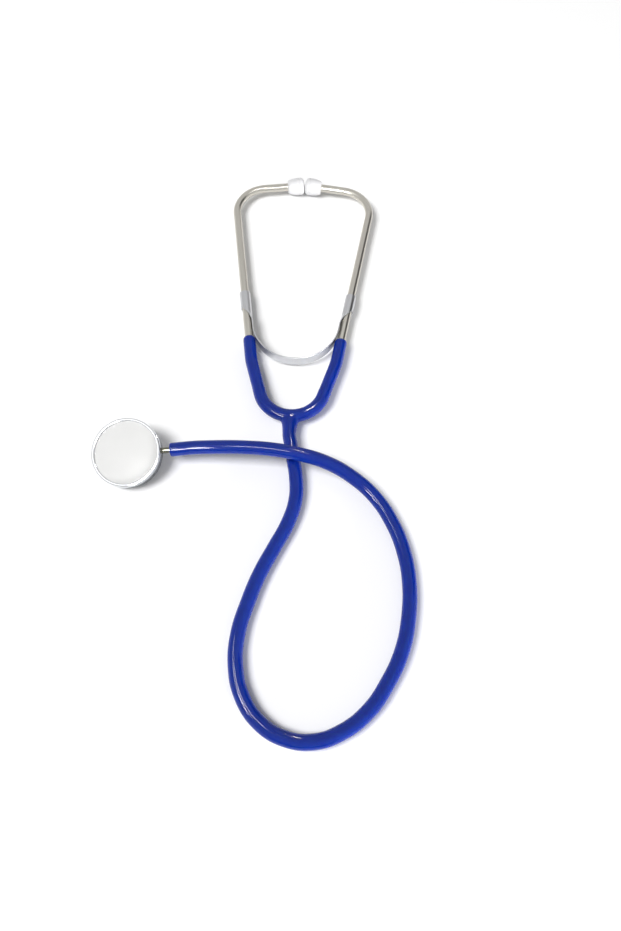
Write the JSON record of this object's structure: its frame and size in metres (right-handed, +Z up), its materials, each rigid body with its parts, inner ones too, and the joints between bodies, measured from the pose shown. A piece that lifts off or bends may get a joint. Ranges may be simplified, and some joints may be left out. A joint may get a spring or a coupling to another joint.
{
  "type": "toy stethoscope",
  "caption": "Toy stethoscope with sprung metal ear tubes in a moulded Y yoke, rounded ear tips, a long looped hose and a round chest piece with a clamped diaphragm.",
  "frame": {"origin": "middle of the footprint of the headset and the chest piece, on the surface that the stethoscope lies on", "axes": "+Z up from that surface; +Y from the yoke to the ear tips, along the headset's middle line; +X across the headset, away from the chest piece"},
  "size_m": [0.2073, 0.4171, 0.0203],
  "materials": {
    "white_plastic": "satin white moulded plastic",
    "nickel_tube": "bright nickel plate on drawn tube",
    "spring_steel": "satin rolled spring steel",
    "blue_pvc": "soft glossy dip-moulded PVC",
    "cast_alloy": "turned alloy",
    "stem_steel": "turned steel",
    "diaphragm_film": "milky white stiff film",
    "chrome_ring": "bright chrome plate"
  },
  "bodies": {
    "chest_and_yoke": {"y_yoke": "blue_pvc", "spring_bow": "spring_steel", "hose": "blue_pvc", "chest_cup": "cast_alloy", "chest_stem": "stem_steel", "diaphragm": "diaphragm_film", "retaining_ring": "chrome_ring"},
    "left_headset": {"left_ear_tube": "nickel_tube", "left_ear_tip": "white_plastic"},
    "right_headset": {"right_ear_tube": "nickel_tube", "right_ear_tip": "white_plastic"}
  },
  "joints": [
    {"name": "left_spread", "type": "hinge", "parent": "chest_and_yoke", "child": "left_headset", "pos_m": [0.014, -0.025, 0.0063], "axis": [0, 0, 1], "range_deg": [0, 28], "stiffness_Nm_per_rad": 0.6, "deforming": ["spring_bow", "y_yoke"]},
    {"name": "right_spread", "type": "hinge", "parent": "chest_and_yoke", "child": "right_headset", "pos_m": [0.058, -0.025, 0.0063], "axis": [0, 0, -1], "range_deg": [0, 28], "stiffness_Nm_per_rad": 0.6, "deforming": ["spring_bow", "y_yoke"]}
  ]
}
